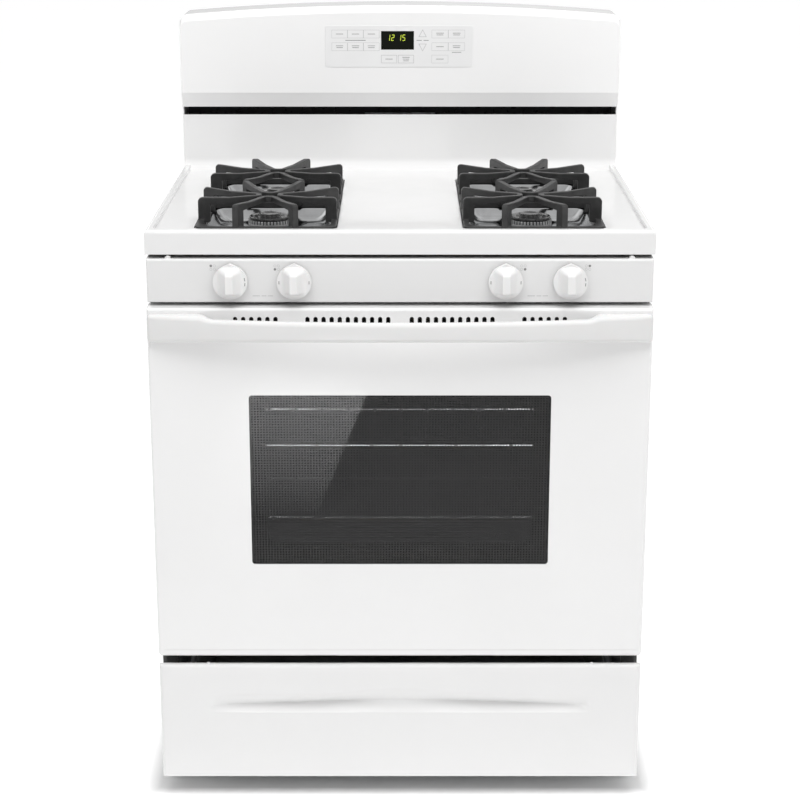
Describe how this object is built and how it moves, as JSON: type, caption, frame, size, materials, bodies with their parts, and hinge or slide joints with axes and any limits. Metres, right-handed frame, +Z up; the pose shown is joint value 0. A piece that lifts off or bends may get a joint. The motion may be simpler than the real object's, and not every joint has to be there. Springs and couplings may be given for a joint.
{
  "type": "freestanding gas range",
  "caption": "White freestanding gas range with square burner grates, a backguard with clock and keypad, a windowed drop-down oven door with a bowed handle, and a storage drawer.",
  "frame": {"origin": "on the floor, under the middle of the overall box", "axes": "+Z up, +X to the right seen from the front, -Y out of the oven door"},
  "size_m": [0.759, 0.73, 1.191],
  "materials": {
    "white_enamel": "glossy porcelain enamel",
    "white_handle": "gloss paint",
    "white_knob": "gloss",
    "galvanised_steel": "galvanised",
    "drawer_paint": "satin paint",
    "black_enamel": "satin",
    "grate_enamel": "satin black enamel",
    "oven_enamel": "speckled enamel",
    "steel": "plated",
    "foot_plastic": "matte",
    "glass_wool": "fibrous",
    "gasket_braid": "woven",
    "black_part": "matte",
    "light_glass": "frosted",
    "bright_chrome": "polished",
    "cast_aluminium": "cast",
    "cap_enamel": "satin enamel",
    "valve_brass": "machined",
    "keypad_print": "satin film",
    "display_black": "gloss",
    "circuit_board": "solder mask",
    "window_glass": "tinted, printed with a fine mesh",
    "inner_glass": "clear"
  },
  "bodies": {
    "range": {"side_panel_right": "white_enamel", "side_panel_left": "white_enamel", "rear_panel": "galvanised_steel", "panel_screws": "steel", "base_frame": "galvanised_steel", "leveling_feet": "foot_plastic", "oven_front_frame": "oven_enamel", "oven_liner": "oven_enamel", "oven_insulation": "glass_wool", "door_gasket": "gasket_braid", "oven_floor_plate": "oven_enamel", "oven_burners": "steel", "oven_igniters": "black_part", "oven_light": "light_glass", "rack_guides": "bright_chrome", "flue_duct": "galvanised_steel", "cooktop": "white_enamel", "drip_pans": "bright_chrome", "burner_bases": "cast_aluminium", "burner_caps": "cap_enamel", "gas_manifold": "galvanised_steel", "gas_regulator": "cast_aluminium", "gas_valves": "cast_aluminium", "burner_tubes": "cast_aluminium", "spark_electrodes": "galvanised_steel", "spark_module": "black_part", "power_inlet": "black_part", "backguard_panel": "white_enamel", "backguard_rear_cover": "white_enamel", "vent_baffle": "black_enamel", "keypad_overlay": "keypad_print", "display_lens": "display_black", "control_board": "circuit_board", "control_panel": "white_enamel", "hinge_receivers": "galvanised_steel", "drawer_rails": "galvanised_steel"},
    "door": {"door_outer_panel": "white_enamel", "door_window": "window_glass", "door_inner_panel": "oven_enamel", "door_inner_glass": "inner_glass", "door_insulation": "glass_wool", "door_handle": "white_handle", "handle_screws": "steel", "hinge_arms": "galvanised_steel"},
    "drawer": {"drawer_front": "white_enamel", "drawer_box": "drawer_paint"},
    "rack_lower": {"oven_rack_lower": "bright_chrome"},
    "rack_upper": {"oven_rack_upper": "bright_chrome"},
    "grate_left_front_body": {"grate_left_front": "grate_enamel"},
    "grate_left_rear_body": {"grate_left_rear": "grate_enamel"},
    "grate_right_front_body": {"grate_right_front": "grate_enamel"},
    "grate_right_rear_body": {"grate_right_rear": "grate_enamel"},
    "valve_plug_left_rear_body": {"valve_plug_left_rear": "valve_brass"},
    "knob_left_rear_body": {"knob_left_rear": "white_knob"},
    "valve_plug_left_front_body": {"valve_plug_left_front": "valve_brass"},
    "knob_left_front_body": {"knob_left_front": "white_knob"},
    "valve_plug_right_front_body": {"valve_plug_right_front": "valve_brass"},
    "knob_right_front_body": {"knob_right_front": "white_knob"},
    "valve_plug_right_rear_body": {"valve_plug_right_rear": "valve_brass"},
    "knob_right_rear_body": {"knob_right_rear": "white_knob"}
  },
  "joints": [
    {"name": "door_hinge", "type": "hinge", "parent": "range", "child": "door", "pos_m": [0, -0.293, 0.266], "axis": [1, 0, 0], "range_deg": [0, 90], "stiffness_Nm_per_rad": 24, "springref_deg": -11.46},
    {"name": "drawer_slide", "type": "slide", "parent": "range", "child": "drawer", "axis": [0, -1, 0], "range_m": [0, 0.4]},
    {"name": "rack_lower_slide", "type": "slide", "parent": "range", "child": "rack_lower", "axis": [0, -1, 0], "range_m": [0, 0.252]},
    {"name": "rack_upper_slide", "type": "slide", "parent": "range", "child": "rack_upper", "axis": [0, -1, 0], "range_m": [0, 0.252]},
    {"name": "grate_left_front_lift", "type": "slide", "parent": "range", "child": "grate_left_front_body", "axis": [0, 0, 1], "range_m": [0, 0.1]},
    {"name": "grate_left_rear_lift", "type": "slide", "parent": "range", "child": "grate_left_rear_body", "axis": [0, 0, 1], "range_m": [0, 0.1]},
    {"name": "grate_right_front_lift", "type": "slide", "parent": "range", "child": "grate_right_front_body", "axis": [0, 0, 1], "range_m": [0, 0.1]},
    {"name": "grate_right_rear_lift", "type": "slide", "parent": "range", "child": "grate_right_rear_body", "axis": [0, 0, 1], "range_m": [0, 0.1]},
    {"name": "knob_left_rear_turn", "type": "hinge", "parent": "range", "child": "valve_plug_left_rear_body", "pos_m": [-0.252, -0.289, 0.839], "axis": [0, -1, 0], "range_deg": [0, 240]},
    {"name": "knob_left_rear_push", "type": "slide", "parent": "valve_plug_left_rear_body", "child": "knob_left_rear_body", "axis": [0, 1, 0], "range_m": [0, 0.003], "stiffness_N_per_m": 1500, "springref_m": -0.001},
    {"name": "knob_left_front_turn", "type": "hinge", "parent": "range", "child": "valve_plug_left_front_body", "pos_m": [-0.157, -0.289, 0.839], "axis": [0, -1, 0], "range_deg": [0, 240]},
    {"name": "knob_left_front_push", "type": "slide", "parent": "valve_plug_left_front_body", "child": "knob_left_front_body", "axis": [0, 1, 0], "range_m": [0, 0.003], "stiffness_N_per_m": 1500, "springref_m": -0.001},
    {"name": "knob_right_front_turn", "type": "hinge", "parent": "range", "child": "valve_plug_right_front_body", "pos_m": [0.157, -0.289, 0.839], "axis": [0, -1, 0], "range_deg": [0, 240]},
    {"name": "knob_right_front_push", "type": "slide", "parent": "valve_plug_right_front_body", "child": "knob_right_front_body", "axis": [0, 1, 0], "range_m": [0, 0.003], "stiffness_N_per_m": 1500, "springref_m": -0.001},
    {"name": "knob_right_rear_turn", "type": "hinge", "parent": "range", "child": "valve_plug_right_rear_body", "pos_m": [0.253, -0.289, 0.839], "axis": [0, -1, 0], "range_deg": [0, 240]},
    {"name": "knob_right_rear_push", "type": "slide", "parent": "valve_plug_right_rear_body", "child": "knob_right_rear_body", "axis": [0, 1, 0], "range_m": [0, 0.003], "stiffness_N_per_m": 1500, "springref_m": -0.001}
  ],
  "couplings": [
    {"joint": "rack_lower_slide", "follows": "door_hinge", "m_per_rad": 0.16},
    {"joint": "rack_upper_slide", "follows": "door_hinge", "m_per_rad": 0.16}
  ]
}
